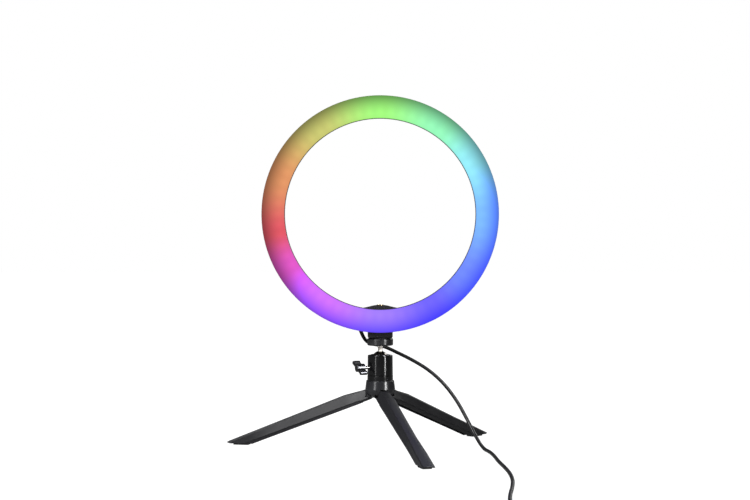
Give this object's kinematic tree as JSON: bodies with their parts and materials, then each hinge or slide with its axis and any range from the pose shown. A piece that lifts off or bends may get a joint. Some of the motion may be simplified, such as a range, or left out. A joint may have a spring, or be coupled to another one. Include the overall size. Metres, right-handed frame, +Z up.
{
  "type": "ring light",
  "caption": "LED ring light on a ball head and folding table tripod, with USB lead, in-line controller and a thread for a phone clip.",
  "frame": {"origin": "point on the table under the post's axis, between the three feet", "axes": "+Z up along the post; the lit face of the ring looks along -Y; +X is on the right of a person who faces that face"},
  "size_m": [0.3033, 0.6587, 0.3895],
  "materials": {
    "black_shell": "fine moulded texture, satin black",
    "diffuser": "translucent milk-white acrylic, lit from behind in a full ring of colours",
    "circuit_board": "white solder mask",
    "white_film": "white reflective film",
    "led_package": "small moulded LED packages",
    "screw_steel": "black-oxide screws",
    "brass": "machined brass",
    "lead_rubber": "soft black PVC",
    "bare_wire": "thin insulated wires",
    "black_metal": "black anodised and polished aluminium",
    "pad_rubber": "matte black rubber",
    "nickel": "bright nickel plate",
    "chrome": "polished chrome plate",
    "nylon": "natural nylon",
    "dark_steel": "blackened steel",
    "black_nylon": "glass-filled nylon with a satin surface",
    "tie_plastic": "plastic-coated wire tie",
    "button_rubber": "soft silicone",
    "plug_steel": "tin-plated steel",
    "white_plastic": "white moulded plastic"
  },
  "bodies": {
    "tripod": {"tripod_hub": "black_nylon", "hub_cap": "black_nylon", "left_pivot_pin": "dark_steel", "front_pivot_pin": "dark_steel", "right_pivot_pin": "dark_steel", "tripod_stud": "nickel", "base_collar": "black_metal", "set_screw": "dark_steel", "ball_housing": "black_metal", "retainer_ring": "dark_steel", "cord_lead": "lead_rubber", "controller_base": "black_shell", "controller_lid": "black_shell", "controller_board": "circuit_board", "relief_in": "lead_rubber", "relief_out": "lead_rubber", "cord_tail": "lead_rubber", "cord_coil": "lead_rubber", "cord_tie": "tie_plastic", "cord_end": "lead_rubber", "usb_overmould": "lead_rubber", "usb_shell": "plug_steel", "usb_tongue": "white_plastic"},
    "pan_seat": {"ball_seat": "nylon"},
    "ball_head": {"ball_stem": "chrome", "mounting_plate": "black_metal", "plate_pad": "pad_rubber", "camera_screw": "nickel", "cord_neck": "lead_rubber"},
    "ring_head": {"rear_shell": "black_shell", "diffuser_cover": "diffuser", "led_board": "circuit_board", "diffuser_film": "white_film", "rgb_leds": "led_package", "white_leds": "led_package", "reflector_bands": "white_film", "shell_screws": "screw_steel", "mount_bracket": "black_shell", "bracket_screws": "screw_steel", "phone_mount_insert": "brass", "tripod_insert": "brass", "cable_gland": "lead_rubber", "lead_wires": "bare_wire", "cord_loop": "lead_rubber"},
    "brake": {"brake_shoe": "nylon"},
    "lock": {"lock_screw": "nickel", "lock_knob": "dark_steel"},
    "left_leg": {"left_leg": "black_nylon", "left_foot_pad": "pad_rubber"},
    "front_leg": {"front_leg": "black_nylon", "front_foot_pad": "pad_rubber"},
    "right_leg": {"right_leg": "black_nylon", "right_foot_pad": "pad_rubber"},
    "power_button": {"power_button": "button_rubber"},
    "mode_button": {"mode_button": "button_rubber"},
    "brighter_button": {"brighter_button": "button_rubber"},
    "dimmer_button": {"dimmer_button": "button_rubber"}
  },
  "joints": [
    {"name": "ball_pan", "type": "hinge", "parent": "tripod", "child": "pan_seat", "pos_m": [0, 0, 0.0988], "axis": [0, 0, 1], "range_deg": [-180, 180], "deforming": ["cord_loop", "cord_neck", "cord_lead"]},
    {"name": "ball_tilt", "type": "hinge", "parent": "pan_seat", "child": "ball_head", "pos_m": [0, 0, 0.0988], "axis": [1, 0, 0], "range_deg": [-30, 30], "deforming": ["cord_loop", "cord_neck", "cord_lead"]},
    {"name": "head_swivel", "type": "hinge", "parent": "ball_head", "child": "ring_head", "pos_m": [0, 0, 0.1229], "axis": [0, 0, 1], "range_deg": [-90, 90], "deforming": ["cord_loop", "cord_neck", "cord_lead"]},
    {"name": "brake_travel", "type": "slide", "parent": "tripod", "child": "brake", "axis": [-0.9063, -0.4226, 0], "range_m": [0, 0.000525]},
    {"name": "lock_turn", "type": "hinge", "parent": "brake", "child": "lock", "pos_m": [0, 0, 0.0902], "axis": [-0.9063, -0.4226, 0], "range_deg": [0, 270]},
    {"name": "left_leg_fold", "type": "hinge", "parent": "tripod", "child": "left_leg", "pos_m": [-0.01313, 0.00315, 0.0602], "axis": [-0.2334, -0.9724, 0], "range_deg": [0, 69]},
    {"name": "front_leg_fold", "type": "hinge", "parent": "tripod", "child": "front_leg", "pos_m": [0.00383, -0.01294, 0.0602], "axis": [0.9588, 0.284, 0], "range_deg": [0, 69]},
    {"name": "right_leg_fold", "type": "hinge", "parent": "tripod", "child": "right_leg", "pos_m": [0.00929, 0.00979, 0.0602], "axis": [-0.7254, 0.6884, 0], "range_deg": [0, 69]},
    {"name": "power_press", "type": "slide", "parent": "tripod", "child": "power_button", "axis": [0, 0, -1], "range_m": [0, 0.0006], "stiffness_N_per_m": 800},
    {"name": "mode_press", "type": "slide", "parent": "tripod", "child": "mode_button", "axis": [0, 0, -1], "range_m": [0, 0.0006], "stiffness_N_per_m": 800},
    {"name": "brighter_press", "type": "slide", "parent": "tripod", "child": "brighter_button", "axis": [0, 0, -1], "range_m": [0, 0.0006], "stiffness_N_per_m": 800},
    {"name": "dimmer_press", "type": "slide", "parent": "tripod", "child": "dimmer_button", "axis": [0, 0, -1], "range_m": [0, 0.0006], "stiffness_N_per_m": 800}
  ],
  "couplings": [
    {"joint": "lock_turn", "follows": "brake_travel", "rad_per_m": 8976}
  ]
}
